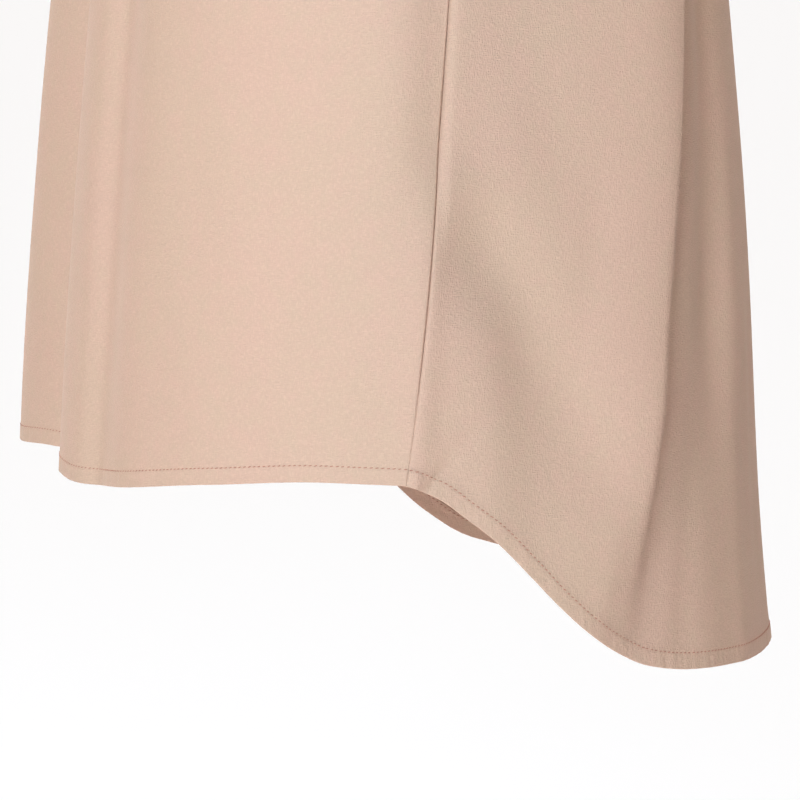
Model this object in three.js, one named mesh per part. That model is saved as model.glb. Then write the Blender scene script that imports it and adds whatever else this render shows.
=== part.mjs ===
// A woman's high-low travel shirt in plain woven cloth, hollow, as it hangs on a general figure.
// Millimetres, +Z up. The wearer faces -Y and the wearer's left arm is at +X.
// The origin is on the centre plane, level with the two neck points that the shoulders hold up.
//
// The body is a stack of rings. A ring is a radius for each angle round the body at one height:
// angle 0 is centre front, +90 the wearer's left side, 180 centre back, -90 the right side.
// Every panel is cut out of that one form by its edges, and given the wall of the cloth.
import * as THREE from 'three';

// ---- Driving sizes ----------------------------------------------------------------------

const wall = 1.2;                 // thickness of the cloth wall
const seamGap = 0.3;              // space between two pieces at a seam
const neckHalfWidth = 90;         // centre plane to neck point
const frontNeckDepth = 104;       // neck points down to the front neckline
const backNeckDepth = 22;         // neck points down to the back neckline
const neckSquareness = 2.2;       // 2 is an oval neckline, more is squarer
const neckCrowding = 1.4;         // over 1 brings the grid's columns close to the neck points
const bandWidth = 10;             // width of the neck band
const shoulderDrop = 45;          // neck point down to the shoulder tip
const armpitDrop = 240;           // neck point down to the underarm point
const frontArmholeReach = 60;     // how far the armhole is cut forward of the shoulder line
const backArmholeReach = 64;      // and how far back
const shoulderSlope = 35;         // degrees below level at which the sleeve leaves the shoulder
const underarmSlope = 66;         // and the underarm
const shoulderPull = 0.72;        // how long the sleeve keeps that direction, as a part of its length
const cuffPull = 0.85;            // and how early it lies along the arm
const sleeveLean = 0.15;          // how far its front and back spread as they leave the armhole

// The sleeve ends in an oval cuff, square to the arm, which hangs out from the body.
const cuff = { x: 240, y: -5, z: -282, halfWide: 48, halfDeep: 57, tilt: 15 };

// ---- Tables -----------------------------------------------------------------------------

// Rings of the body, from the neck down.
const rings = [
  { z: 9, halfWidth: 77, frontDepth: 30, backDepth: 38, squareness: 2.0 },
  { z: 0, halfWidth: 90, frontDepth: 35, backDepth: 44, squareness: 2.0 },
  { z: -15, halfWidth: 129, frontDepth: 45, backDepth: 52, squareness: 2.0 },
  { z: -30, halfWidth: 163, frontDepth: 54, backDepth: 60, squareness: 2.0 },
  { z: -45, halfWidth: 185, frontDepth: 63, backDepth: 68, squareness: 2.0 },
  { z: -70, halfWidth: 191, frontDepth: 75, backDepth: 79, squareness: 2.0 },
  { z: -110, halfWidth: 188, frontDepth: 90, backDepth: 93, squareness: 2.05 },
  { z: -160, halfWidth: 182, frontDepth: 105, backDepth: 106, squareness: 2.1 },
  { z: -200, halfWidth: 179, frontDepth: 116, backDepth: 114, squareness: 2.15 },
  { z: -250, halfWidth: 179, frontDepth: 127, backDepth: 122, squareness: 2.2 },
  { z: -330, halfWidth: 187, frontDepth: 138, backDepth: 134, squareness: 2.2 },
  { z: -450, halfWidth: 200, frontDepth: 151, backDepth: 149.5, squareness: 2.2 },
  { z: -560, halfWidth: 209, frontDepth: 161, backDepth: 160, squareness: 2.2 },
  { z: -690, halfWidth: 217, frontDepth: 169, backDepth: 166, squareness: 2.2 },
  { z: -800, halfWidth: 224, frontDepth: 173, backDepth: 176, squareness: 2.2 },
];

// The hem, by the angle round the body.
const hemLine = [
  { angle: -180, z: -774 },
  { angle: -150, z: -773 },
  { angle: -124, z: -770 },
  { angle: -110, z: -762 },
  { angle: -103, z: -747 },
  { angle: -94, z: -714 },
  { angle: -88, z: -694 },
  { angle: -81, z: -678 },
  { angle: -72, z: -676 },
  { angle: -55, z: -681 },
  { angle: -33, z: -690 },
  { angle: -24, z: -690 },
  { angle: -13, z: -688 },
  { angle: 0, z: -690 },
  { angle: 20, z: -693 },
  { angle: 33, z: -690 },
  { angle: 55, z: -681 },
  { angle: 72, z: -676 },
  { angle: 80, z: -676.5 },
  { angle: 84, z: -682 },
  { angle: 88, z: -692.8 },
  { angle: 92, z: -704.6 },
  { angle: 96, z: -719.7 },
  { angle: 100, z: -735.6 },
  { angle: 104, z: -748.5 },
  { angle: 108, z: -757.6 },
  { angle: 113, z: -765.3 },
  { angle: 120, z: -769.3 },
  { angle: 130, z: -771 },
  { angle: 150, z: -772.5 },
  { angle: 180, z: -774 },
];

// The side seams lean forward on their way down. Angles are from centre front, left and right.
const sideSeams = [
  { z: -240, left: 90, right: 90 },
  { z: -450, left: 86.8, right: 87 },
  { z: -640, left: 82, right: 82.4 },
  { z: -690, left: 80.2, right: 81 },
];
const seamFoot = -680;            // about where they end; the hem line says exactly where

// Folds of the body, each a bell across: wide before its crest and wide after it, in degrees.
// Its crest runs from angleHigh at foldTop to angleLow at foldBottom, and its height (a trough has
// less than none) likewise. It begins at z starts and is whole from full down. One that ends above
// the hem fades from z fades to gone.
const foldTop = -450;
const foldBottom = -690;
const foldGrowth = { above: -1, below: 1.4 };   // how far past those levels a height goes on changing
const folds = [
  { name: 'centre front trough', angleHigh: -3, angleLow: -4, before: 8, after: 7,
    high: -17, low: -20, starts: -260, full: -420 },
  { name: 'far front flute', angleHigh: -24, angleLow: -26, before: 12, after: 10,
    high: 12, low: 14.5, starts: -260, full: -420 },
  { name: 'far front trough', angleHigh: -50, angleLow: -52, before: 11, after: 9,
    high: -4, low: -8, starts: -320, full: -520 },
  { name: 'left seam corner', angleHigh: 87, angleLow: 80, before: 15, after: 5,
    high: 4, low: 4.5, starts: -260, full: -420 },
  { name: 'left back flat', angleHigh: 100, angleLow: 100, before: 12, after: 14,
    high: -7.5, low: -8, starts: -260, full: -440 },
  { name: 'left back crest', angleHigh: 122, angleLow: 113, before: 11, after: 3.2,
    high: 5.5, low: 7, starts: -240, full: -440, fades: -620, gone: -730 },
  { name: 'left back trough', angleHigh: 133.5, angleLow: 126, before: 5.5, after: 5,
    high: -8, low: -10, starts: -240, full: -440, fades: -600, gone: -710 },
  { name: 'left tail corner', angleHigh: 139.5, angleLow: 109.5, before: 14, after: 7,
    high: 5, low: 5, starts: -610, full: -710 },
  { name: 'left tail flat', angleHigh: 147.5, angleLow: 119.5, before: 9, after: 15,
    high: -5, low: -5, starts: -620, full: -720 },
  { name: 'centre back trough', angleHigh: 176, angleLow: 178, before: 13, after: 12,
    high: -5, low: -7, starts: -300, full: -500 },
  { name: 'right inner ridge', angleHigh: -143, angleLow: -141, before: 7, after: 5,
    high: 3, low: 5, starts: -280, full: -460 },
  { name: 'right back trough', angleHigh: -131, angleLow: -128, before: 7, after: 5,
    high: -4, low: -9, starts: -280, full: -460, fades: -640, gone: -740 },
  { name: 'right back crest', angleHigh: -121, angleLow: -115, before: 4, after: 14,
    high: 4, low: 8, starts: -260, full: -460, fades: -660, gone: -760 },
  { name: 'right back flat', angleHigh: -99, angleLow: -100, before: 13, after: 11,
    high: -5, low: -6.5, starts: -280, full: -460 },
  { name: 'right seam corner', angleHigh: -87, angleLow: -81, before: 5, after: 15,
    high: 3, low: 4, starts: -260, full: -420 },
];

// Folds of a sleeve, by the angle round the arm (0 is outermost, 90 the front, 180 the underarm).
const sleeveFolds = [
  { name: 'front drag', angle: 118, spread: 17, high: -5, starts: 0.1, full: 0.5, turn: 18 },
  { name: 'front swell', angle: 70, spread: 20, high: 3, starts: 0.2, full: 0.8, turn: 4 },
  { name: 'back drag', angle: -122, spread: 16, high: -6, starts: 0.1, full: 0.55, turn: -20 },
  { name: 'back swell', angle: -78, spread: 22, high: 3, starts: 0.2, full: 0.9, turn: 2 },
];

// How closely each panel's grid is laid from its middle to its side, as parts of its half width.
// The neckline ends and the shoulder seam begins at neckShare, so that is one of the steps.
const neckShare = 0.6;
const frontColumns = [
  { to: 0.16, steps: 5 },
  { to: neckShare, steps: 8 },
  { to: 1, steps: 5 },
];
const backColumns = [
  { to: 0.34, steps: 6 },
  { to: neckShare, steps: 7 },
  { to: 0.8, steps: 6 },
  { to: 1, steps: 3 },
];
const neckBendStart = 400;        // how far down the grid begins to bend towards the neckline
const biteCrowding = 2;           // how strongly the top rows keep the armhole to the side columns
const sideRows = 9;               // grid rows from the hem to the armpit
const armholeRows = 11;           // and from there to the shoulder tip
const sleeveRows = 8;
const sleeveColumns = 2 * armholeRows;

// ---- Small sums -------------------------------------------------------------------------

const radians = THREE.MathUtils.degToRad;
const mix = THREE.MathUtils.lerp;

// An angle brought between -180 and 180.
function wrapAngle(angle) {
  return THREE.MathUtils.euclideanModulo(angle + 180, 360) - 180;
}

// A smooth step from 0 at a to 1 at b.
function ease(a, b, x) {
  const t = THREE.MathUtils.clamp((x - a) / (b - a), 0, 1);
  return t * t * (3 - 2 * t);
}

// A smooth curve through one column of a table that never overshoots its rows: a cubic between
// each two rows, whose slope at a row is the weighted harmonic mean of the slopes beside it.
function curveThrough(table, key, column) {
  const rows = [...table].sort((a, b) => a[key] - b[key]);
  const x = rows.map((row) => row[key]);
  const y = rows.map((row) => row[column]);
  const step = x.slice(1).map((value, i) => value - x[i]);
  const slope = step.map((value, i) => (y[i + 1] - y[i]) / value);
  const tangent = y.map((_, i) => {
    if (i === 0) return slope[0];
    if (i === y.length - 1) return slope[i - 1];
    if (slope[i - 1] * slope[i] <= 0) return 0;
    const before = 2 * step[i] + step[i - 1];
    const after = step[i] + 2 * step[i - 1];
    return (before + after) / (before / slope[i - 1] + after / slope[i]);
  });
  return (at) => {
    const value = THREE.MathUtils.clamp(at, x[0], x[x.length - 1]);
    let i = 0;
    while (i < step.length - 1 && value > x[i + 1]) i += 1;
    const t = (value - x[i]) / step[i];
    return (2 * t ** 3 - 3 * t ** 2 + 1) * y[i]
      + (t ** 3 - 2 * t ** 2 + t) * step[i] * tangent[i]
      + (3 * t ** 2 - 2 * t ** 3) * y[i + 1]
      + (t ** 3 - t ** 2) * step[i] * tangent[i + 1];
  };
}

// ---- The form of the body -----------------------------------------------------------------

const halfWidthAt = curveThrough(rings, 'z', 'halfWidth');
const frontDepthAt = curveThrough(rings, 'z', 'frontDepth');
const backDepthAt = curveThrough(rings, 'z', 'backDepth');
const squarenessAt = curveThrough(rings, 'z', 'squareness');
const hemAt = curveThrough(hemLine, 'angle', 'z');
const leftSeamAt = curveThrough(sideSeams, 'z', 'left');
const rightSeamAt = curveThrough(sideSeams, 'z', 'right');

function foldHeight(angle, z) {
  const down = (foldTop - z) / (foldTop - foldBottom);
  const grown = THREE.MathUtils.clamp(down, foldGrowth.above, foldGrowth.below);
  let sum = 0;
  for (const fold of folds) {
    const off = wrapAngle(angle - mix(fold.angleHigh, fold.angleLow, down));
    const spread = off < 0 ? fold.before : fold.after;
    const faded = fold.gone === undefined ? 0 : ease(-fold.fades, -fold.gone, -z);
    const shown = ease(-fold.starts, -fold.full, -z) * (1 - faded);
    sum += mix(fold.high, fold.low, grown) * shown * Math.exp(-((off / spread) ** 2));
  }
  return sum;
}

function bodyPoint(angle, z) {
  const across = Math.sin(radians(angle));
  const along = Math.cos(radians(angle));
  const depth = along > 0 ? frontDepthAt(z) : backDepthAt(z);
  const n = squarenessAt(z);
  const ring = (Math.abs(across / halfWidthAt(z)) ** n + Math.abs(along / depth) ** n) ** (-1 / n);
  const radius = ring + foldHeight(angle, z);
  return new THREE.Vector3(radius * across, -radius * along, z);
}

// The body's outward direction at a place, from the points just beside, above and below it.
const normalStep = { angle: 0.2, z: 0.4 };

function bodyNormal(angle, z) {
  const across = bodyPoint(angle + normalStep.angle, z).sub(bodyPoint(angle - normalStep.angle, z));
  const up = bodyPoint(angle, z + normalStep.z).sub(bodyPoint(angle, z - normalStep.z));
  return across.cross(up).normalize();
}

// The angle, from centre front, of the point of a ring that lies y in front of the shoulder line
// (or behind it, for y over 0).
function angleAtDepth(y, z) {
  const depth = y < 0 ? frontDepthAt(z) : backDepthAt(z);
  const n = squarenessAt(z);
  const x = halfWidthAt(z) * (1 - Math.abs(y / depth) ** n) ** (1 / n);
  return THREE.MathUtils.radToDeg(Math.atan2(x, -y));
}

// The angle, from centre front, of the point of a ring that lies x from the centre plane.
function angleAtWidth(x, z, back) {
  const depth = back ? backDepthAt(z) : frontDepthAt(z);
  const n = squarenessAt(z);
  const y = depth * Math.max(0, 1 - Math.min(1, x / halfWidthAt(z)) ** n) ** (1 / n);
  return THREE.MathUtils.radToDeg(Math.atan2(x, back ? -y : y));
}

// ---- Edges of the panels, as an angle and a height ----------------------------------------

// The armhole is an oval seen from the side, from the armpit at part 0 to the shoulder tip at 1.
function armholeEdge(back, part) {
  const middle = -(armpitDrop + shoulderDrop) / 2;
  const halfTall = (armpitDrop - shoulderDrop) / 2;
  const z = middle - halfTall * Math.cos(Math.PI * part);
  const reach = back ? backArmholeReach : -frontArmholeReach;
  return { angle: angleAtDepth(reach * Math.sin(Math.PI * part), z), z };
}

// The neckline is an oval seen from the front, from the neck point at part 0 to the centre at 1.
// The neck band's top edge is one too, with the band's width taken off.
function neckEdge(back, part, topOfBand) {
  const high = topOfBand ? rings[0].z : 0;
  const wide = topOfBand ? rings[0].halfWidth : neckHalfWidth;
  const deep = (back ? backNeckDepth : frontNeckDepth) - (topOfBand ? bandWidth : 0);
  const turn = (part ** neckCrowding * Math.PI) / 2;
  const x = wide * Math.cos(turn) ** (2 / neckSquareness);
  const z = high - (deep + high) * Math.sin(turn) ** (2 / neckSquareness);
  return { angle: angleAtWidth(x, z, back), z };
}

// Half a seam's gap, as an angle at the body's side.
function halfGapAngle(z) {
  return THREE.MathUtils.radToDeg(seamGap / 2 / bodyPoint(90, z).x);
}

// One side of a panel from the hem up: its side seam, then its armhole. Beside the armhole, line is
// where the seam's line would have gone on up to the shoulder.
function sideEdge(back, side, part) {
  const armpitPart = sideRows / (sideRows + armholeRows);
  const seamAt = side > 0 ? leftSeamAt : rightSeamAt;
  const sign = back ? 1 : -1;
  if (part > armpitPart) {
    const edge = armholeEdge(back, (part - armpitPart) / (1 - armpitPart));
    const endGap = part === 1 ? sign * halfGapAngle(edge.z) : 0;
    return { line: side * 90, angle: side * (edge.angle + endGap), z: edge.z };
  }
  const corner = hemAt(side * seamAt(seamFoot));
  const z = mix(corner, -armpitDrop, part / armpitPart);
  const angle = side * (seamAt(z) + sign * halfGapAngle(z));
  return { line: angle, angle, z };
}

// The top of a panel, from its middle at share 0 to the shoulder tip at 1: neckline, then shoulder.
function topEdge(back, side, share) {
  const sign = back ? 1 : -1;
  if (share < neckShare) {
    const edge = neckEdge(back, 1 - share / neckShare, false);
    return { angle: side * edge.angle, z: edge.z };
  }
  const z = mix(0, -shoulderDrop, (share - neckShare) / (1 - neckShare));
  return { angle: side * (90 + sign * halfGapAngle(z)), z };
}

// ---- Cloth walls --------------------------------------------------------------------------

// A wall of cloth: a grid of points on its outer face, and the same grid moved in by the wall's
// thickness along its normals, joined round the edges. A tube's columns go all round.
function clothWall(grid, normals, isTube) {
  const rowCount = grid.length;
  const columnCount = grid[0].length;
  const nextColumn = (j) => (isTube ? (j + 1) % columnCount : j + 1);
  const inner = grid.map((row, i) => row.map((point, j) => (
    point.clone().addScaledVector(normals[i][j], -wall)
  )));

  const positions = [...grid.flat(), ...inner.flat()].flatMap((point) => point.toArray());
  const outerIndex = (i, j) => i * columnCount + j;
  const innerIndex = (i, j) => rowCount * columnCount + i * columnCount + j;
  const triangles = [];
  const quad = (a, b, c, d) => triangles.push(a, b, c, a, c, d);

  const spans = isTube ? columnCount : columnCount - 1;
  for (let i = 0; i < rowCount - 1; i += 1) {
    for (let j = 0; j < spans; j += 1) {
      const k = nextColumn(j);
      quad(outerIndex(i, j), outerIndex(i, k), outerIndex(i + 1, k), outerIndex(i + 1, j));
      quad(innerIndex(i, j), innerIndex(i + 1, j), innerIndex(i + 1, k), innerIndex(i, k));
    }
  }
  const top = rowCount - 1;
  for (let j = 0; j < spans; j += 1) {
    const k = nextColumn(j);
    quad(innerIndex(0, j), innerIndex(0, k), outerIndex(0, k), outerIndex(0, j));
    quad(outerIndex(top, j), outerIndex(top, k), innerIndex(top, k), innerIndex(top, j));
  }
  if (!isTube) {
    const side = columnCount - 1;
    for (let i = 0; i < top; i += 1) {
      quad(innerIndex(i, 0), outerIndex(i, 0), outerIndex(i + 1, 0), innerIndex(i + 1, 0));
      quad(outerIndex(i, side), innerIndex(i, side), innerIndex(i + 1, side), outerIndex(i + 1, side));
    }
  }
  const geometry = new THREE.BufferGeometry();
  geometry.setAttribute('position', new THREE.Float32BufferAttribute(positions, 3));
  geometry.setIndex(triangles);
  geometry.computeVertexNormals();
  return geometry;
}

// A wall on the body's own form, from a grid of places on it.
function formWall(places, isTube) {
  const grid = places.map((row) => row.map(({ angle, z }) => bodyPoint(angle, z)));
  const normals = places.map((row) => row.map(({ angle, z }) => bodyNormal(angle, z)));
  return clothWall(grid, normals, isTube);
}

// The normals of a tube's grid, from the points either side of each point.
function tubeNormals(grid) {
  const last = grid.length - 1;
  const count = grid[0].length;
  return grid.map((row, i) => row.map((_, j) => {
    const across = row[(j + 1) % count].clone().sub(row[(j + count - 1) % count]);
    const up = grid[Math.min(i + 1, last)][j].clone().sub(grid[Math.max(i - 1, 0)][j]);
    return across.cross(up).normalize();
  }));
}

function mirrored(geometry) {
  const copy = geometry.clone();
  copy.scale(-1, 1, 1);
  const index = [...copy.getIndex().array];
  for (let i = 0; i < index.length; i += 3) {
    [index[i + 1], index[i + 2]] = [index[i + 2], index[i + 1]];
  }
  copy.setIndex(index);
  copy.computeVertexNormals();
  return copy;
}

// ---- Pieces ---------------------------------------------------------------------------------

// Places from one side of a panel (-1) to the other (1), close together where the folds are.
function columnPlaces(spacing) {
  const half = [];
  let from = 0;
  for (const { to, steps } of spacing) {
    for (let i = 1; i <= steps; i += 1) half.push(mix(from, to, i / steps));
    from = to;
  }
  return [...half.map((place) => -place).reverse(), 0, ...half];
}

// A panel's grid is drawn between its four edges: straight from side to side, bent towards the hem
// line near the bottom and towards the neck and shoulders near the top, with the armhole cut in.
// Its angles are counted from the panel's own middle.
function bodyPanel(back, spacing) {
  const rowTotal = sideRows + armholeRows;
  const fromMiddle = (angle) => (back ? Math.sign(angle) * 180 - angle : angle);
  const sidesAt = (part) => [-1, 1].map((side) => {
    const { line, angle, z } = sideEdge(back, side, part);
    return { line: fromMiddle(line), bite: fromMiddle(angle) - fromMiddle(line), z };
  });
  const chord = ([first, last], share) => (
    { angle: mix(first.line, last.line, share), z: mix(first.z, last.z, share) }
  );
  const places = [];
  for (let i = 0; i <= rowTotal; i += 1) {
    const sides = sidesAt(i / rowTotal);
    const climb = Math.max(0, (sides[1].z + neckBendStart) / (neckBendStart - shoulderDrop));
    const nearTop = climb ** 2;
    const nearHem = (1 - i / rowTotal) ** 2;
    const row = columnPlaces(spacing).map((place) => {
      const share = (place + 1) / 2;
      const straight = chord(sides, share);
      const hemChord = chord(sidesAt(0), share);
      const topChord = chord(sidesAt(1), share);
      const top = topEdge(back, place < 0 ? -1 : 1, Math.abs(place));
      const hemAngle = back ? 180 - hemChord.angle : hemChord.angle;
      const hemBend = nearHem * (hemAt(wrapAngle(hemAngle)) - hemChord.z);
      const bitten = Math.abs(place) ** (1 + biteCrowding * nearTop ** 8);
      const bite = sides[place < 0 ? 0 : 1].bite * bitten;
      const angle = straight.angle + nearTop * (fromMiddle(top.angle) - topChord.angle) + bite;
      return {
        angle: back ? 180 - angle : angle,
        z: straight.z + nearTop * (top.z - topChord.z) + hemBend,
      };
    });
    places.push(back ? row.reverse() : row);
  }
  return formWall(places, false);
}

// A sleeve runs from just outside the armhole to the cuff on curves that leave the shoulder along
// its slope and reach the cuff along the arm. Its columns start at the shoulder tip and go round
// by the front.
function sleeve(foldScale, foldTurn) {
  const centreOfArmhole = bodyPoint(90, -(armpitDrop + shoulderDrop) / 2);
  const tilt = radians(cuff.tilt);
  const alongArm = new THREE.Vector3(Math.sin(tilt), 0, -Math.cos(tilt));
  const acrossArm = new THREE.Vector3(Math.cos(tilt), 0, Math.sin(tilt));
  const columns = Array.from({ length: sleeveColumns }, (_, j) => {
    const round = (2 * Math.PI * j) / sleeveColumns;
    const back = round > Math.PI;
    const edge = armholeEdge(back, Math.abs(1 - round / Math.PI));
    const start = bodyPoint(edge.angle, edge.z);
    const normal = bodyNormal(edge.angle, edge.z);
    const inPlane = centreOfArmhole.clone().sub(start);
    inPlane.addScaledVector(normal, -inPlane.dot(normal)).normalize();
    start.addScaledVector(normal, seamGap).addScaledVector(inPlane, seamGap);
    const end = new THREE.Vector3(cuff.x, cuff.y, cuff.z)
      .addScaledVector(acrossArm, cuff.halfWide * Math.cos(round))
      .add(new THREE.Vector3(0, -cuff.halfDeep * Math.sin(round), 0));
    const slope = radians(mix(shoulderSlope, underarmSlope, (1 - Math.cos(round)) / 2));
    const lean = -sleeveLean * Math.sin(round);
    const leave = new THREE.Vector3(Math.cos(slope), lean, -Math.sin(slope));
    return { start, end, leave, reach: start.distanceTo(end) };
  });
  const grid = [];
  for (let i = 0; i <= sleeveRows; i += 1) {
    const s = i / sleeveRows;
    const row = columns.map(({ start, end, leave, reach }) => new THREE.Vector3()
      .addScaledVector(start, 2 * s ** 3 - 3 * s ** 2 + 1)
      .addScaledVector(leave, (s ** 3 - 2 * s ** 2 + s) * shoulderPull * reach)
      .addScaledVector(end, 3 * s ** 2 - 2 * s ** 3)
      .addScaledVector(alongArm, (s ** 3 - s ** 2) * cuffPull * reach));
    const middle = row.reduce((sum, point) => sum.add(point), new THREE.Vector3());
    middle.divideScalar(row.length);
    row.forEach((point, j) => {
      const outward = point.clone().sub(middle).normalize();
      const round = (360 * j) / sleeveColumns;
      let high = 0;
      for (const fold of sleeveFolds) {
        const off = wrapAngle(round - fold.angle - foldTurn - fold.turn * s);
        const shown = ease(fold.starts, fold.full, s);
        high += foldScale * fold.high * shown * Math.exp(-((off / fold.spread) ** 2));
      }
      point.addScaledVector(outward, high);
    });
    grid.push(row);
  }
  return clothWall(grid, tubeNormals(grid), true);
}

// The neck band continues the body's form from the neckline up to its own top edge.
function neckBand() {
  const places = [0, 0.5, 1].map((up) => [false, true].flatMap((back) => {
    const spacing = back ? backColumns : frontColumns;
    const along = columnPlaces(spacing).filter((place) => place > -neckShare && place <= neckShare);
    return along.map((place) => {
      const part = 1 - Math.abs(place) / neckShare;
      const side = (place < 0 ? -1 : 1) * (back ? -1 : 1);
      const low = neckEdge(back, part, false);
      const high = neckEdge(back, part, true);
      const share = mix(seamGap / bandWidth, 1, up);
      return { angle: side * mix(low.angle, high.angle, share), z: mix(low.z, high.z, share) };
    });
  }));
  return formWall(places, true);
}

function clothMaterial(colour) {
  return new THREE.MeshStandardMaterial({ color: colour, roughness: 0.85, metalness: 0 });
}

// ---- The shirt ------------------------------------------------------------------------------

const shirt = new THREE.Group();
shirt.name = 'travel_shirt';

function addPiece(name, geometry, colour) {
  const piece = new THREE.Mesh(geometry, clothMaterial(colour));
  piece.name = name;
  shirt.add(piece);
}

const leftSleeve = sleeve(1, 0);
const rightSleeve = mirrored(sleeve(0.8, 9));

addPiece('front_panel', bodyPanel(false, frontColumns), '#dcbdaa');
addPiece('back_panel', bodyPanel(true, backColumns), '#d3b29e');
addPiece('sleeve_left', leftSleeve, '#dcbdaa');
addPiece('sleeve_right', rightSleeve, '#dcbdaa');
addPiece('neck_band', neckBand(), '#cfae9a');

export default shirt;
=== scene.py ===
# %% [markdown]
# # A travel shirt, hung in the air as it is worn
#
# A woman's loose woven top, with a hem that is nearly level in front and drops to a long rounded tail
# behind. It is five pieces of one thin cloth, sewn together: front, back, two short sleeves and a narrow
# neck band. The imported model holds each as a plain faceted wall. Here it is made again as fine cloth on
# the same form, with its turned hem, rolled seams, creases and stitches.

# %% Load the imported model
import math

import bpy
import numpy as np
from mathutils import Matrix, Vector


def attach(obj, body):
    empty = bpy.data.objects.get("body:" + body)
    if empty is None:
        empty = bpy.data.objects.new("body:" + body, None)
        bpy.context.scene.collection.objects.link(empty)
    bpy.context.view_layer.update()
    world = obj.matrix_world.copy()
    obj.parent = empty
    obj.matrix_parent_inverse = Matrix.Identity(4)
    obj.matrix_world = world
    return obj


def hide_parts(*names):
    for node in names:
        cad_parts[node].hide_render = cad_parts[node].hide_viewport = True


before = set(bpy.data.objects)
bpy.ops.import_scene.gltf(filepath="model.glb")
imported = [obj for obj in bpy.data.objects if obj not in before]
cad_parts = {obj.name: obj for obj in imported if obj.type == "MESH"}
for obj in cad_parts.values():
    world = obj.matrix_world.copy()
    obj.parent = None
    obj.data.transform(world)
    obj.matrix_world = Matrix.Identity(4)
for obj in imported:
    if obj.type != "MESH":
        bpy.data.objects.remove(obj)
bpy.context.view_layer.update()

# %% [markdown]
# ## Camera, light and floor
#
# The shirt is seen from its wearer's left, a little from above, and close to its hem. A long lens from
# three metres off keeps the hem's two levels nearly parallel. The camera is placed by two angles round
# a point on the shirt's centre line, beside the foot of the side seam.

# %% Camera
scene = bpy.context.scene
scene.view_settings.view_transform = "Standard"

view_azimuth = 80.0        # degrees round the shirt, from its front towards the wearer's left
view_elevation = 7.0
view_distance = 3.0
view_width = 0.384      # metres across the view, at the shirt's centre line
sensor_width = 36.0        # mm
aim = Vector((0, 0, -0.665))


def direction(azimuth, elevation):
    """The unit vector from the shirt towards a place seen at that azimuth and elevation."""
    a, e = math.radians(azimuth), math.radians(elevation)
    return Vector((math.sin(a) * math.cos(e), -math.cos(a) * math.cos(e), math.sin(e)))


def stand_at(thing, azimuth, elevation, distance):
    """Puts a camera or a lamp at that place round the shirt, facing the aim."""
    way = direction(azimuth, elevation)
    thing.location = aim + way * distance
    thing.rotation_euler = way.to_track_quat("Z", "Y").to_euler()
    scene.collection.objects.link(thing)


camera = bpy.data.objects.new("camera", bpy.data.cameras.new("camera"))
camera.data.sensor_width = sensor_width
camera.data.lens = sensor_width * view_distance / view_width
camera.data.clip_end = 200
stand_at(camera, view_azimuth, view_elevation, view_distance)
scene.camera = camera
print("lens, mm:", round(camera.data.lens, 2))


# %% [markdown]
# Colours are picked as the hex numbers that a screen shows, and one function turns them to the linear
# light that shaders want. Another adds a node with its settings and links, so that a material reads as
# a list of what it is made of.

# %% Colours and nodes
def linear(hex_colour):
    """An sRGB hex colour as linear red, green, blue and an alpha of 1."""
    parts = [int(hex_colour[k:k + 2], 16) / 255 for k in (1, 3, 5)]
    return [c / 12.92 if c <= 0.04045 else ((c + 0.055) / 1.055) ** 2.4 for c in parts] + [1.0]


def set_inputs(tree, node, inputs):
    """Sets a node's inputs, each named with underscores for spaces, or by input_ and its number, to a
    number, a colour, another node's output, or another node, which stands for its first output."""
    for name, value in inputs.items():
        label = name.replace("_", " ")
        socket = node.inputs[int(label[5:])] if label.startswith("input") else node.inputs[label]
        if isinstance(value, bpy.types.Node):
            value = value.outputs[0]
        if isinstance(value, bpy.types.NodeSocket):
            tree.links.new(value, socket)
        else:
            socket.default_value = value


def add_node(tree, kind, settings=None, **inputs):
    """Adds a node to a tree, with its own settings, its values and its links."""
    node = tree.nodes.new("ShaderNode" + kind)
    for name, value in (settings or {}).items():
        setattr(node, name, value)
    set_inputs(tree, node, inputs)
    return node


def new_material(name, **inputs):
    """A material whose surface has those inputs."""
    material = bpy.data.materials.new(name)
    material.use_nodes = True
    set_inputs(material.node_tree, material.node_tree.nodes["Principled BSDF"], inputs)
    return material


# %% [markdown]
# A soft box stands a little to the front of the wearer's left hip, and above it. It is wide, so the
# cloth shades softly from fold to fold. The room is dim on the lamp's side and bright behind the shirt.
# That wall lights both outlines and leaves the folds between them dark. The lamp is cool and the wall
# warm, so the lit cloth is paler than the shaded. Just above the floor a narrow band of the room stays
# pale and almost neutral, so that no dark line shows there. A lamp straight above whitens the floor.

# %% Studio
floor_height = -1.45       # metres, under the wearer's feet, measured from the neck points

key = bpy.data.objects.new("key", bpy.data.lights.new("key", "AREA"))
key.data.size = 1.3
key.data.energy = 126.0
key.data.color = (0.64, 0.845, 1.0)
stand_at(key, azimuth=64.0, elevation=22.0, distance=3.2)

top_lamp = bpy.data.objects.new("top", bpy.data.lights.new("top", "SUN"))
top_lamp.data.energy = 2.7
top_lamp.data.angle = math.radians(20)
scene.collection.objects.link(top_lamp)

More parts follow.
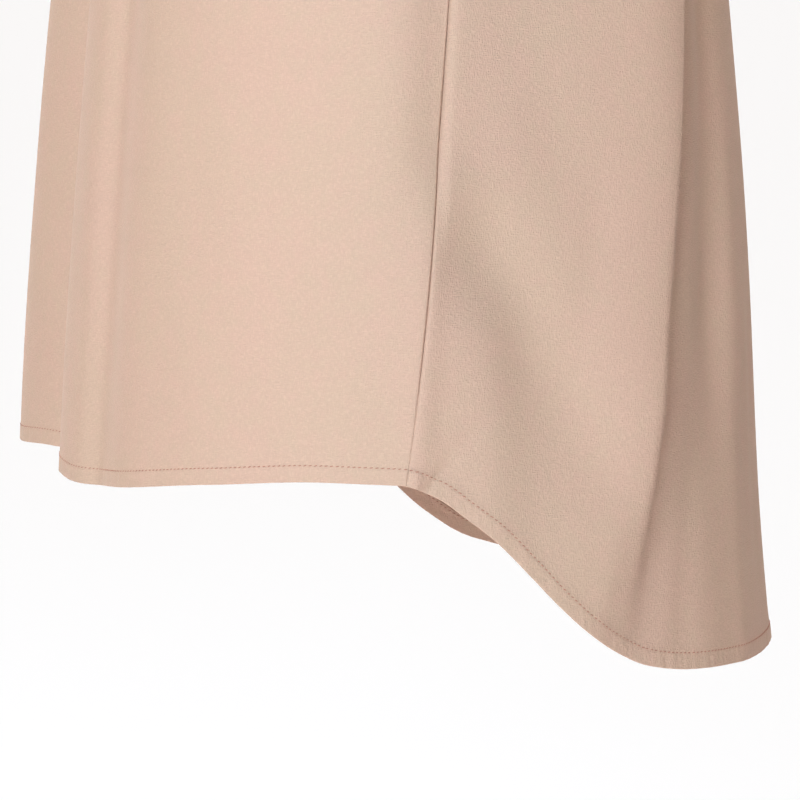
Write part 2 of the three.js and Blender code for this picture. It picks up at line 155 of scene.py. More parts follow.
world = bpy.data.worlds.new("pale room")
world.use_nodes = True
scene.world = world
sky = world.node_tree
sky.nodes.clear()
smooth = {"interpolation_type": "SMOOTHSTEP"}
look = add_node(sky, "TexCoord")
height = add_node(sky, "SeparateXYZ", Vector=look)
behind = add_node(sky, "VectorMath", {"operation": "DOT_PRODUCT"},
                  input_0=look, input_1=direction(view_azimuth + 210, 0))
walls = add_node(sky, "MapRange", smooth, Value=behind.outputs["Value"],
                 From_Min=0.3, From_Max=0.8, To_Min=0.02, To_Max=1.0)
horizon = add_node(sky, "MapRange", smooth, Value=height.outputs["Z"],
                   From_Min=0.025, From_Max=0.045, To_Min=0.95, To_Max=0.0)
glow = add_node(sky, "Math", {"operation": "MAXIMUM"}, input_0=walls, input_1=horizon)
warmth = add_node(sky, "Mix", {"data_type": "RGBA"}, Factor=horizon,
                  input_6=(1.0, 0.86, 0.70, 1.0), input_7=(1.0, 0.97, 0.94, 1.0))
room = add_node(sky, "Background", Color=warmth.outputs[2], Strength=glow)
add_node(sky, "OutputWorld", Surface=room)

bpy.ops.mesh.primitive_plane_add(size=400, location=(0, 0, floor_height))
floor = bpy.context.object
floor.name = "floor"
floor.data.materials.append(new_material("matt white paper", Base_Color=linear("#f6f7fa"), Roughness=0.9))
print("lamps: a soft box of", key.data.energy, "W and a lamp above")

# %% [markdown]
# ## The form that the cloth hangs on
#
# The body of the shirt is a stack of rings, each a squared oval at one height, as in the imported model.
# A place on the form is an angle round the body (0 is centre front, 90 the wearer's left, 180 centre
# back) and a height. Sizes are millimetres until a mesh is made. Simulated cloth would give more folds,
# but not the few that a top of this cut always has, so they are listed one by one.

# %% Sizes of the cut
neck_half_width = 90.0     # centre plane to neck point
front_neck_depth = 104.0
back_neck_depth = 22.0
neck_squareness = 2.2
neck_crowding = 1.4
band_width = 10.0
shoulder_drop = 45.0       # neck point down to the shoulder tip
armpit_drop = 240.0
front_reach, back_reach = 60.0, 64.0    # how far the armholes are cut forward and back
cuff = {"x": 240.0, "y": -5.0, "z": -282.0, "half_wide": 48.0, "half_deep": 57.0, "tilt": 15.0}

# One row a ring: height, half width, depth of the front, depth of the back, squareness.
rings = np.array([
    (9, 77, 30, 38, 2.0),
    (0, 90, 35, 44, 2.0),
    (-15, 129, 45, 52, 2.0),
    (-30, 163, 54, 60, 2.0),
    (-45, 185, 63, 68, 2.0),
    (-70, 191, 75, 79, 2.0),
    (-110, 188, 90, 93, 2.05),
    (-160, 182, 105, 106, 2.1),
    (-200, 179, 116, 114, 2.15),
    (-250, 179, 127, 122, 2.2),
    (-330, 187, 138, 134, 2.2),
    (-450, 200, 151, 149.5, 2.2),
    (-560, 209, 161, 160, 2.2),
    (-690, 217, 169, 166, 2.2),
    (-800, 224, 173, 176, 2.2),
])

# The hem line: angle round the body, height.
hem_line = np.array([
    (-180, -774), (-150, -773), (-124, -770), (-110, -762), (-103, -747), (-94, -714), (-88, -694),
    (-81, -678), (-72, -676), (-55, -681), (-33, -690), (-24, -690), (-13, -688), (0, -690), (20, -693),
    (33, -690), (55, -681), (72, -676), (80, -676.5), (84, -682), (88, -692.8), (92, -704.6),
    (96, -719.7), (100, -735.6), (104, -748.5), (108, -757.6), (113, -765.3), (120, -769.3),
    (130, -771), (150, -772.5), (180, -774),
], dtype=float)

# The side seams: height, angle of the left seam, angle of the right seam.
side_seams = np.array([(-240, 90, 90), (-450, 86.8, 87), (-640, 82, 82.4), (-690, 80.2, 81)])
seam_foot = -680.0


# %% [markdown]
# A curve through a short table gives the sizes between its rows. A plain cubic would swing past the
# rows, and the cloth would bulge there, so each row's slope is limited.

# %% Curves through tables
def curve_through(where, what):
    """A curve that never overshoots its rows: between two rows a cubic, whose slope at a row is the
    weighted harmonic mean of the slopes on both sides of it, or nothing where they disagree."""
    order = np.argsort(where)
    x, y = np.asarray(where, float)[order], np.asarray(what, float)[order]
    step = np.diff(x)
    slope = np.diff(y) / step
    tangent = np.empty_like(y)
    tangent[0], tangent[-1] = slope[0], slope[-1]
    before, after = 2 * step[1:] + step[:-1], step[1:] + 2 * step[:-1]
    agree = slope[:-1] * slope[1:] > 0
    low, high = np.where(agree, slope[:-1], 1), np.where(agree, slope[1:], 1)
    tangent[1:-1] = np.where(agree, (before + after) / (before / low + after / high), 0)

    def at(value):
        """The curve at those places, and its end rows beyond them."""
        value = np.clip(value, x[0], x[-1])
        i = np.clip(np.searchsorted(x, value, side="right") - 1, 0, len(step) - 1)
        a, b, c, d = hermite((value - x[i]) / step[i])
        return a * y[i] + b * step[i] * tangent[i] + c * y[i + 1] + d * step[i] * tangent[i + 1]

    return at


def hermite(t):
    """A Hermite curve's four weights, for t from 0 to 1: of its start, the slope there, its end, and
    the slope there."""
    return 2 * t**3 - 3 * t**2 + 1, t**3 - 2 * t**2 + t, 3 * t**2 - 2 * t**3, t**3 - t**2


def ease(a, b, x):
    """A smooth step from 0 at a to 1 at b."""
    t = np.clip((x - a) / (b - a), 0, 1)
    return t * t * (3 - 2 * t)


def bell(distance, width):
    """A bell that is 1 at distance 0 and about a third at its width: exp(-(distance / width)^2)."""
    return np.exp(-(distance / width) ** 2)


def wrap(angle):
    """An angle brought between -180 and 180."""
    return (angle + 180) % 360 - 180


half_width, front_depth, back_depth, squareness = (
    curve_through(rings[:, 0], rings[:, column]) for column in (1, 2, 3, 4))
hem_height = curve_through(hem_line[:, 0], hem_line[:, 1])
left_seam = curve_through(side_seams[:, 0], side_seams[:, 1])
right_seam = curve_through(side_seams[:, 0], side_seams[:, 2])

# %% [markdown]
# The large folds are soft ridges and troughs that run down the form. Each is a bell across, often
# steeper on one side, as hanging cloth turns sharply from one flat to the next. The table gives each
# fold at two levels, and it leans and grows between them.

# %% Large folds
fold_top, fold_bottom = -450.0, -690.0
folds = [
    # name, angle at top and bottom, spread before and after, height at top and bottom,
    # where it starts and is full, and, unless it runs off the hem, where it fades and is gone
    ("centre front trough", -3, -4, 8, 7, -17, -20, -260, -420),
    ("far front flute", -24, -26, 12, 10, 12, 14.5, -260, -420),
    ("far front trough", -50, -52, 11, 9, -4, -8, -320, -520),
    ("left seam corner", 87, 80, 15, 5, 4, 4.5, -260, -420),
    ("left back flat", 100, 100, 12, 14, -7.5, -8, -260, -440),
    ("left back crest", 122, 113, 11, 3.2, 5.5, 7, -240, -440, -620, -730),
    ("left back trough", 133.5, 126, 5.5, 5, -8, -10, -240, -440, -600, -710),
    ("left tail corner", 139.5, 109.5, 14, 7, 5, 5, -610, -710),
    ("left tail flat", 147.5, 119.5, 9, 15, -5, -5, -620, -720),
    ("centre back trough", 176, 178, 13, 12, -5, -7, -300, -500),
    ("right inner ridge", -143, -141, 7, 5, 3, 5, -280, -460),
    ("right back trough", -131, -128, 7, 5, -4, -9, -280, -460, -640, -740),
    ("right back crest", -121, -115, 4, 14, 4, 8, -260, -460, -660, -760),
    ("right back flat", -99, -100, 13, 11, -5, -6.5, -280, -460),
    ("right seam corner", -87, -81, 5, 15, 3, 4, -260, -420),
]


def fold_height(angle, z):
    """The folds' heights added up: each is its height times a bell across its own crest line."""
    down = (fold_top - z) / (fold_top - fold_bottom)
    grown = np.clip(down, -1, 1.4)
    total = np.zeros(np.broadcast(angle, z).shape)
    for _, high_angle, low_angle, before, after, high, low, starts, full, *end in folds:
        off = wrap(angle - (high_angle + (low_angle - high_angle) * down))
        spread = np.where(off < 0, before, after)
        shown = ease(-starts, -full, -z)
        if end:
            shown = shown * (1 - ease(-end[0], -end[1], -z))
        total = total + (high + (low - high) * grown) * shown * bell(off, spread)
    return total


def form_point(angle, z):
    """A place on the form: the squared oval's radius at that angle, plus the folds, turned to x and y."""
    across, along = np.sin(np.radians(angle)), np.cos(np.radians(angle))
    depth = np.where(along > 0, front_depth(z), back_depth(z))
    n = squareness(z)
    ring = (np.abs(across / half_width(z)) ** n + np.abs(along / depth) ** n) ** (-1 / n)
    radius = ring + fold_height(angle, z)
    return np.stack([radius * across, -radius * along, z + 0 * radius], axis=-1)


def unit(vectors):
    """Vectors brought to a length of 1."""
    return vectors / np.linalg.norm(vectors, axis=-1, keepdims=True)


def form_normal(angle, z):
    """The form's outward direction: the cross product of the way round it and the way up it."""
    across = form_point(angle + 0.2, z) - form_point(angle - 0.2, z)
    up = form_point(angle, z + 0.4) - form_point(angle, z - 0.4)
    return unit(np.cross(across, up))


print("round the shirt at the foot of its seams, mm:", round(float(np.linalg.norm(
    np.diff(form_point(np.linspace(0, 360, 2000), -676.0), axis=0), axis=1).sum())))


# %% [markdown]
# ## Where each panel's edges run
#
# The armhole is an oval seen from the side and the neckline one seen from the front. Both are found on
# the form by the angle at which a ring reaches a given depth or width.

# %% Edges of the cut
def angle_at_depth(y, z):
    """The angle at which a ring lies y in front of the shoulder line, or behind it for y over 0."""
    depth = np.where(y < 0, front_depth(z), back_depth(z))
    n = squareness(z)
    x = half_width(z) * np.maximum(0, 1 - np.abs(y / depth) ** n) ** (1 / n)
    return np.degrees(np.arctan2(x, -y))


def angle_at_width(x, z, back):
    """The angle at which a ring lies x from the centre plane."""
    depth = back_depth(z) if back else front_depth(z)
    n = squareness(z)
    y = depth * np.maximum(0, 1 - np.minimum(1, x / half_width(z)) ** n) ** (1 / n)
    return np.degrees(np.arctan2(x, -y if back else y))


def armhole(back, part):
    """The armhole's edge, from the armpit at part 0 to the shoulder tip at 1."""
    z = -(armpit_drop + shoulder_drop) / 2 - (armpit_drop - shoulder_drop) / 2 * np.cos(np.pi * part)
    reach = back_reach if back else -front_reach
    return angle_at_depth(reach * np.sin(np.pi * part), z), z


def neck_edge(back, part, top_of_band=False):
    """The neckline, or the top of the band on it, from the neck point at part 0 to the centre at 1."""
    high = rings[0, 0] if top_of_band else 0.0
    wide = rings[0, 1] if top_of_band else neck_half_width
    deep = (back_neck_depth if back else front_neck_depth) - (band_width if top_of_band else 0)
    turn = part ** neck_crowding * np.pi / 2
    x = wide * np.maximum(0, np.cos(turn)) ** (2 / neck_squareness)
    z = high - (deep + high) * np.sin(turn) ** (2 / neck_squareness)
    return angle_at_width(x, z, back), z


neck_share = 0.6           # how much of a panel's half top edge is neckline; the rest is shoulder
armpit_part = 0.45         # how much of a panel's side edge, from the hem up, is side seam


def side_edge(back, side, part):
    """One side of a panel, from the hem up: the seam, then the armhole. The seam's line, the edge's
    own angle, and its height."""
    seam = left_seam if side > 0 else right_seam
    corner = hem_height(side * seam(seam_foot))
    seam_z = corner + (-armpit_drop - corner) * part / armpit_part
    hole_angle, hole_z = armhole(back, (part - armpit_part) / (1 - armpit_part))
    above = part > armpit_part
    line = np.where(above, 90.0, seam(seam_z))
    angle = np.where(above, hole_angle, line)
    return side * line, side * angle, np.where(above, hole_z, seam_z)


def top_edge(back, place):
    """The top of a panel: its neckline, then its shoulder, for places from -1 to 1."""
    side, share = np.where(place < 0, -1, 1), np.abs(place)
    neck_angle, neck_z = neck_edge(back, np.clip(1 - share / neck_share, 0, 1))
    shoulder_z = -shoulder_drop * (share - neck_share) / (1 - neck_share)
    on_neck = share < neck_share
    return side * np.where(on_neck, neck_angle, 90.0), np.where(on_neck, neck_z, shoulder_z)


# %% [markdown]
# ## A panel as a grid
#
# A panel is a patch between four edges. Its grid is drawn straight from side to side, bent towards the
# hem line near the bottom and towards the neck and shoulders near the top, and the armholes are cut in.
# That keeps every edge a row or column of the mesh, which trimming a finished surface wouldn't.

# %% Places on a panel
neck_bend_start = 400.0    # mm below the neck points, where the rows start to bend to the top edge
bite_crowding = 2.0        # how close to the side the armhole's cut stays, near the top


def panel_place(back, place, part):
    """The angle and height of a panel's place across (-1 to 1) and part of the way up (0 to 1)."""
    from_middle = (lambda a: np.sign(a) * 180 - a) if back else (lambda a: a)

    def ends(part):
        """Both sides at that part of the way up: angle, how far the armhole cuts in, height."""
        sides = []
        for side in (-1, 1):
            line, angle, z = side_edge(back, side, part)
            sides.append((from_middle(line), from_middle(angle) - from_middle(line), z))
        return sides

    def chord(sides, share):
        """The straight line between two sides."""
        (low, _, low_z), (high, _, high_z) = sides
        return low + (high - low) * share, low_z + (high_z - low_z) * share

    share = (place + 1) / 2
    sides = ends(part)
    angle, z = chord(sides, share)
    hem_angle, hem_z = chord(ends(np.zeros_like(part)), share)
    top_chord_angle, top_chord_z = chord(ends(np.ones_like(part)), share)
    top_angle, top_z = top_edge(back, place)
    climb = np.maximum(0, (sides[1][2] + neck_bend_start) / (neck_bend_start - shoulder_drop))
    near_top = climb ** 2
    near_hem = (1 - part) ** 2
    bite = np.where(place < 0, sides[0][1], sides[1][1])
    bitten = np.abs(place) ** (1 + bite_crowding * near_top ** 8)
    angle = angle + near_top * (from_middle(top_angle) - top_chord_angle) + bite * bitten
    hem_bend = hem_height(wrap(180 - hem_angle if back else hem_angle)) - hem_z
    z = z + near_top * (top_z - top_chord_z) + near_hem * hem_bend
    return (180 - angle if back else angle), z


# %% [markdown]
# ## Small creases and the seams' pull
#
# Under the large folds the cloth has drag lines, soft dents and the pull of its seams. They could be
# sculpted, but a row of a table can be read and moved. A crease is a straight line on the form, with a
# width on either side and a height, less than none for a trough.

# %% Small creases
crease_reach = 200.0       # mm, a round figure for the form's radius, which turns degrees to mm
crease_end = 22.0          # mm over which a crease dies out past its ends
deep_crease = 4.0          # mm; a crease of this height or more dies out more slowly,
deep_crease_end = 14       # over this many times its height
creases = [
    # name, angle and height of one end, angle and height of the other, width before, after, height
    ("left seam, front turns in", 87.0, -400, 84.9, -545, 14, 3, -2.6),
    ("left seam, both sides fall", 87.3, -400, 85.3, -520, 17, 22, -3.6),
    ("front valley", 26.5, -440, 25.5, -690, 14, 30, -7.0),
    ("front flat", 24, -450, 22, -680, 10, 8, 0.8),
    ("left seam's foot, pull", 74, -600, 78, -655, 9, 12, -0.8),
    ("left seam to tail, drag", 91, -572, 105.5, -676, 20, 17, -3.2),
    ("left seam, swell behind", 95, -528, 113, -650, 20, 18, 0.9),
    ("left back dent", 106, -560, 103.5, -610, 8, 8, -0.5),
    ("left back tuck", 123.6, -460, 115.9, -640, 2.5, 17, -5.5),
    ("left back ridge", 137.4, -430, 135.0, -610, 7, 9, 1.0),
    ("left tail, soft edge", 113, -690, 105, -748, 9, 14, 0.8),
    ("left tail, small crease", 108.5, -716, 107, -738, 3, 4, -0.5),
    ("left tail, second", 111.5, -720, 110.5, -735, 3, 3, -0.35),
    ("left tail, fan", 123, -640, 119, -752, 8, 9, -1.1),
    ("left tail, second fan", 134, -650, 132, -765, 8, 10, 1.0),
    ("left tail, third fan", 146, -620, 144, -715, 10, 9, -0.8),
    ("left seam, swell before", 84, -560, 81.5, -690, 10, 6, 1.8),
    ("left seam's foot, swell", 90, -612, 90.5, -690, 20, 16, 3.2),
    ("left seam's foot, nick", 84.0, -675, 86.0, -666, 1.8, 2.6, -1.3),
    ("right back drag", -92, -560, -106, -672, 18, 20, -1.4),
    ("right back swell", -98, -500, -112, -640, 20, 18, 1.0),
    ("right seam, front turns in", -87.2, -420, -84.8, -545, 2, 14, -1.9),
    ("right seam's foot, pull", -75, -590, -79, -650, 11, 9, -0.8),
    ("right front valley", -66, -470, -67, -650, 22, 20, -1.4),
    ("right tail, fan", -118, -650, -116, -750, 8, 10, -1.0),
    ("right tail, second fan", -131, -670, -133, -765, 9, 8, 1.0),
    ("right tail, third fan", -150, -640, -152, -768, 10, 10, -1.3),
    ("centre tail, fan", 164, -600, 163, -768, 10, 12, 1.2),
    ("left armhole, chest", 62, -232, 40, -330, 12, 16, -1.5),
    ("left armhole, second", 66, -262, 52, -350, 10, 12, -1.1),
    ("right armhole, chest", -61, -228, -44, -322, 14, 12, -1.4),
    ("right armhole, second", -67, -270, -50, -345, 12, 10, -1.2),
    ("left armhole, back", 118, -222, 140, -318, 12, 14, -1.5),
    ("left armhole, second back", 112, -258, 131, -352, 10, 12, -1.2),
    ("right armhole, back", -119, -226, -138, -310, 14, 12, -1.6),
    ("right armhole, second back", -113, -264, -128, -340, 12, 10, -1.1),
    ("left shoulder drop", 72, -70, 60, -160, 14, 16, -1.2),
    ("right shoulder drop", -71, -74, -61, -152, 16, 14, -1.1),
    ("back neck, left drop", 152, -60, 150, -190, 18, 18, -1.4),
    ("back neck, right drop", -156, -55, -152, -175, 18, 16, -1.3),
    ("front neck drop", 12, -140, 14, -250, 18, 20, -1.2),
]


def beside_line(x, y, run):
    """Where points lie by a straight line from 0, 0 to run: how far aside of it, and past its ends."""
    length = np.hypot(*run)
    ahead = run / length
    along = x * ahead[0] + y * ahead[1]
    return y * ahead[0] - x * ahead[1], np.maximum(0, np.maximum(-along, along - length))


def crease_height(angle, z):
    """The creases' heights added up: each times a bell across its line and another past its ends."""
    total = np.zeros(np.broadcast(angle, z).shape)
    for _, angle_a, z_a, angle_b, z_b, before, after, high in creases:
        run = np.array([np.radians(angle_b - angle_a) * crease_reach, z_b - z_a])
        x = np.radians(wrap(angle - angle_a)) * crease_reach
        aside, past = beside_line(x, z - z_a, run)      # over 0 aside towards larger angles, going down
        end = crease_end if abs(high) < deep_crease else deep_crease_end * abs(high)
        spread = np.where(aside < 0, before, after)
        total = total + high * np.exp(-(aside / spread) ** 2 - (past / end) ** 2)
    return total


def unevenness(angle, z):
    """How cloth is never quite smooth: four long low waves that cross at uneven angles, so that they
    never repeat over one shirt."""
    x = np.radians(angle) * crease_reach
    return (0.30 * np.sin(x / 23 + 0.6 * np.sin(z / 61) + 1.1)
            + 0.22 * np.sin(x / 11.7 - z / 83 + 2.3)
            + 0.26 * np.sin(z / 37 + 0.9 * np.sin(x / 53) + 0.4)
            + 0.12 * np.sin(x / 7.1 + z / 29 + 5.0))


# %% [markdown]
# ## The turned hem
#
# The hem is the cloth's own edge, turned up inside and held by one row of stitches. The grid is made as
# it is sewn: down the outside, round a tight fold, and up inside for the width of the turning. A bevel
# would look the same from outside, but not from below.

# %% Hem
turned_width = 9.2         # mm, edge of the turning above the fold
stitch_line = 7.5          # mm above the fold, where the stitches are sunk
fold_radius = 0.45
fold_turns = np.radians([150, 120, 90, 60, 30])
far_above = 99.0           # stands for every row above the hem's own
layer_lifts = 0.16, 0.12   # mm by which the turning, and its edge at the stitches, lift the cloth
groove_depth, groove_width = 0.07, 0.45
roll_reaches = 0.5, 1.3, 3.2    # mm over which a sewn edge rolls in

# The rows of a hem, from the turning's raw edge, round the fold, and up the outside.
inside_up = np.array([turned_width, 8.4, stitch_line, 6.6, 4.6, 2.4, 1.2, fold_radius])
outside_up = np.array([fold_radius, 0.9, 1.6, 2.7, 4.0, 5.3, 6.3, 6.9, 7.25, stitch_line,
                       7.75, 8.1, 8.7, 9.6, 11, 13, 15.5])
hem_up = np.concatenate([inside_up, fold_radius * (1 - np.sin(fold_turns)), outside_up])
hem_inset = np.concatenate([0 * inside_up + 2 * fold_radius, fold_radius * (1 - np.cos(fold_turns)),
                            0 * outside_up])
inner_stitch_row, stitch_row = (int(row) for row in np.flatnonzero(hem_up == stitch_line))


def hem_relief(up, along):
    """The hem's own relief: its layers stand proud below the stitches, the stitches sink in, and the
    edge puckers in short uneven waves, which are sines along it and a bell above it."""
    layers = (layer_lifts[0] * (1 - ease(stitch_line, turned_width, up))
              + layer_lifts[1] * (1 - ease(6.3, stitch_line, up)))
    groove = -groove_depth * bell(up - stitch_line, groove_width)
    pucker = (0.10 * np.sin(along / 1.9 + 0.8 * np.sin(along / 13))
              + 0.13 * np.sin(along / 3.7 + 1.7) * np.sin(along / 41 + 0.5)
              + 0.10 * np.sin(along / 6.3 + 4.0))
    return layers + groove + pucker * bell(np.maximum(0, up - 4), 5)


def seam_dip(distance, sharp=0.95, roll=0.0, fall=0.22):
    """How far a sewn edge rolls in: three bells over its reaches, high by sharp, roll and fall. Where
    fall is less than none, the edge stands proud instead."""
    near, middle, far = roll_reaches
    return sharp * bell(distance, near) + roll * bell(distance, middle) + fall * bell(distance, far)


def hem_rows(rows):
    """For each row of a grid, how far above the hem's fold it lies, and how far inside the outer face."""
    rest = rows - len(hem_up)
    above = np.append(hem_up, np.full(rest, far_above))
    return above[:, None], np.append(hem_inset, np.zeros(rest))[:, None]


def stitch_lines(points, normals):
    """Where a hem's stitches lie, outside and inside, each with the direction out of the cloth."""
    return ((points[stitch_row], normals[stitch_row]),
            (points[inner_stitch_row], -normals[inner_stitch_row]))


print("hem rows:", len(hem_up), "of which the stitches lie on row", stitch_row)


# %% [markdown]
# ## From a grid to a mesh
#
# Every piece of cloth is a grid of points on its outer face. Its UV map is the cut itself, in metres,
# so that the weave keeps its size and runs with the grain. A Solidify modifier gives it its thickness.

# %% Meshes from grids
cloth_thickness = 0.34     # mm
mm = 0.001


def spread_out(fixed, gap):
    """Places from the first of fixed to the last, with every fixed place kept and evenly filled, and
    no step over gap, a function of the place."""
    places = [fixed[0]]
    for end in fixed[1:]:
        start = places[-1]
        count = max(1, math.ceil((end - start) / gap((start + end) / 2)))
        places += list(start + (end - start) * np.arange(1, count + 1) / count)
    return np.array(places)


def lengths_along(points, axis):
    """The distance gone along the rows or columns of a grid, from the first point of each."""
    steps = np.linalg.norm(np.diff(points, axis=axis), axis=-1)
    zero = np.zeros_like(np.take(steps, [0], axis=axis))
    return np.concatenate([zero, np.cumsum(steps, axis=axis)], axis=axis)


def point_on_line(where, places, line):
    """The points of a line at those places along it, straight between its own points."""
    return np.stack([np.interp(where, places, line[:, k]) for k in range(3)], axis=-1)


def new_piece(name, points, faces):
    """An object with a smooth mesh of those faces, over points in millimetres."""
    mesh = bpy.data.meshes.new(name)
    mesh.from_pydata((points.reshape(-1, 3) * mm).tolist(), [], faces)
    mesh.polygons.foreach_set("use_smooth", np.ones(len(faces), dtype=bool))
    mesh.update()
    piece = bpy.data.objects.new(name, mesh)
    scene.collection.objects.link(piece)
    return piece


def quads_of(index, closed):
    """The quads between the rows and columns of a grid of point numbers."""
    here, nxt = (index, np.roll(index, -1, axis=1)) if closed else (index[:, :-1], index[:, 1:])
    return np.stack([here[:-1], nxt[:-1], nxt[1:], here[1:]], axis=-1).reshape(-1, 4)


def mesh_from_grid(name, points, uv, above_hem, closed=False):
    """A piece over a grid of points. Closed joins the last column to the first, and the UV map is kept
    once a corner, so that it doesn't run back across the join. Each point also keeps how far above a
    hem's fold it lies, for the puckers."""
    rows, columns = points.shape[:2]
    quads = quads_of(np.arange(rows * columns).reshape(rows, columns), closed)
    piece = new_piece(name, points, quads.tolist())
    i, j = np.divmod(quads, columns)
    if closed:
        j = np.where((j == 0) & (j[:, :1] == columns - 1), columns, j)
    layer = piece.data.uv_layers.new(name="cut")
    layer.data.foreach_set("uv", (uv[i, j] * mm).reshape(-1).astype(np.float32))
    above = np.broadcast_to(above_hem * mm, (rows, columns)).reshape(-1).astype(np.float32)
    piece.data.attributes.new("above_hem", "FLOAT", "POINT").data.foreach_set("value", above)
    return piece


def uv_round(across, end, up):
    """The UV map of a closed grid. It has one column more, where the first is met again."""
    return np.stack([np.append(across, end, axis=1), np.append(up, up[:, :1], axis=1)], axis=-1)


def thicken(piece):
    """Gives a grid of cloth its thickness, inwards from its outer face."""
    wall = piece.modifiers.new("thickness of the cloth", "SOLIDIFY")
    wall.thickness = cloth_thickness * mm
    wall.offset = -1
    wall.use_even_offset = False
    return piece


# %% [markdown]
# ## Front and back
#
# Rows and columns lie close together where they are needed: at the hem's turning, beside the seams,
# and in the lower left part, which is looked at closely. The back's columns bend sideways too, so that
# a bundle of them runs along the crest of its sharpest fold, which would else look chipped.

# %% Rows and columns of a panel
crest_place = 0.64         # the column that is bent to run along the left back crest
crest_angles = 123, 114    # where it runs, at the folds' top and bottom levels


def along_crest(angle, z, place):
    """Bends a panel's columns near crest_place, so that that one lies on the left back crest."""
    down = (fold_top - z) / (fold_top - fold_bottom)
    crest = crest_angles[0] + (crest_angles[1] - crest_angles[0]) * down
    half_angle = 180 - np.where(z > -armpit_drop, 90, left_seam(z))
    wanted = crest - (180 - crest_place * half_angle)
    shown = ease(240, 420, -z) * (1 - ease(640, 740, -z))
    near = bell(place - crest_place, 0.2) * (1 - ease(0.9, 1, np.abs(place)))
    return angle + wanted * shown * near


def panel_rows():
    """The parts of the way up at which the rows above the hem's own lie."""
    close = 1 - np.array([0.02, 0.009, 0.0045, 0.0022, 0])
    visible = np.linspace(0.026, 0.24, 72)
    middle = np.linspace(0.24, armpit_part, 36)[1:]
    upper = np.linspace(armpit_part, close[0], 44)[1:-1]
    return np.concatenate([visible, middle, upper, close])


def panel_columns(back, half_width_mm):
    """Places from the wearer's right side (-1) to the left (1), close together beside the seams."""
    close = np.array([0, 0.2, 0.4, 0.7, 1.1, 1.8, 3.2, 4.6, 5.6, 6.2, 7.2, 8.7, 9.9, 11, 13, 15])
    close = close / half_width_mm
    crest_bundle = crest_place + np.linspace(-0.016, 0.016, 21) if back else []
    fixed = np.concatenate([close - 1, [0], crest_bundle, 1 - close[::-1]])
    return spread_out(fixed, lambda place: 0.0145 if place < 0 else 0.0098)


def hem_part(back, place, up):
    """The part of the way up at which a panel's column is up millimetres from the hem, square to it.
    It is corrected three times by what is missing over rise, since height grows almost evenly."""
    rise = 1100.0          # mm of height to the whole way up, at the hem
    part = up / rise
    for _ in range(3):
        angle, z = panel_place(back, place, part)
        ahead, behind = form_point(angle + 0.5, seam_foot), form_point(angle - 0.5, seam_foot)
        run = np.linalg.norm(ahead - behind, axis=-1)
        slope = (hem_height(wrap(angle + 0.5)) - hem_height(wrap(angle - 0.5))) / run
        missing = up * np.sqrt(1 + slope ** 2) - (z - hem_height(wrap(angle)))
        part = part + missing / rise
    return part


def panel_grid(back, half_width_mm):
    """A panel's columns' places, and each grid point's part of the way up, angle and height."""
    places = panel_columns(back, half_width_mm)[::-1 if back else 1]
    on_hem = np.broadcast_to(places, (len(hem_up), len(places)))
    above = np.broadcast_to(panel_rows()[:, None], (len(panel_rows()), len(places)))
    part = np.concatenate([hem_part(back, on_hem, hem_up[:, None] + 0 * on_hem), above])
    place = np.broadcast_to(places, part.shape)
    angle, z = panel_place(back, place, part)
    return places, part, along_crest(angle, z, place) if back else angle, z


# %% [markdown]
# The grid is laid on the form and its edges are rolled in, less near the hem. Both seam allowances are
# pressed towards the back, so it stands proud beside the seam, and its hem is thicker over them.

# %% Panels
seam_rolls = {False: (0.95, 0.0, 0.34), True: (0.95, 0.28, -0.2)}    # the front's and the back's seam_dip
allowance_lift = 0.6       # mm that the turned-up allowances lift the hem,
allowance_edge = 5.6, 6.2  # out to here from the seam
allowance_top = 7.0, 8.4   # and up to here from the fold
least_roll = 0.25          # how much of its roll a seam keeps at the hem
rolled_edges = {}          # the armholes' rolled edges, which the sleeves start on


def cloth_on_form(angle, z):
    """The shirt's outer face with all its creases, and the form's outward direction there."""
    normal = form_normal(angle, z)
    relief = crease_height(angle, z) + unevenness(angle, z)
    return form_point(angle, z) + normal * relief[..., None], normal


def panel(name, back, half_width_mm):
    """Front or back: its grid of places, on the form, with the hem and the rolled edges."""
    places, part, angle, z = panel_grid(back, half_width_mm)
    points, normals = cloth_on_form(angle, z)
    above_hem, inset = hem_rows(len(points))
    across, down = lengths_along(points, 1), lengths_along(points[::-1], 0)[::-1]
    edge = np.minimum(np.minimum(across, across[:, -1:] - across), down)

    flatter = least_roll + (1 - least_roll) * ease(8, 80, z - hem_height(wrap(angle)))
    sharp, roll, fall = seam_rolls[back]
    dip = seam_dip(edge, sharp * flatter, roll, fall if back else fall * flatter)
    beside_seam, inside_hem = 1 - ease(*allowance_edge, edge), 1 - ease(*allowance_top, above_hem)
    allowances = allowance_lift * beside_seam * inside_hem if back else 0
    inward = inset + dip - hem_relief(above_hem, across) - allowances
    points = points - normals * inward[..., None]
    for column in (0, -1):
        on_armhole = part[:, column] >= armpit_part
        up_armhole = (part[on_armhole, column] - armpit_part) / (1 - armpit_part)
        rolled_edges[back, int(places[column])] = up_armhole, points[on_armhole, column]

    middle = len(places) // 2
    round_form = lengths_along(points[..., :2], 1)
    uv = np.stack([round_form - round_form[:, middle:middle + 1], z], axis=-1)
    piece = thicken(mesh_from_grid(name, points, uv, above_hem))
    print(name, points.shape[:2], "points, hem", round(float(across[stitch_row, -1])), "mm long")
    return piece, stitch_lines(points, normals)


front, front_hem = panel("front_cloth", False, 285.0)
back, back_hem = panel("back_cloth", True, 345.0)


# %% [markdown]
# ## Sleeves
#
# A sleeve leaves the shoulder at a slant and the underarm steeply, and hangs along the arm to an oval
# cuff. Each of its lines is a Hermite curve, which needs only two ends and two directions.

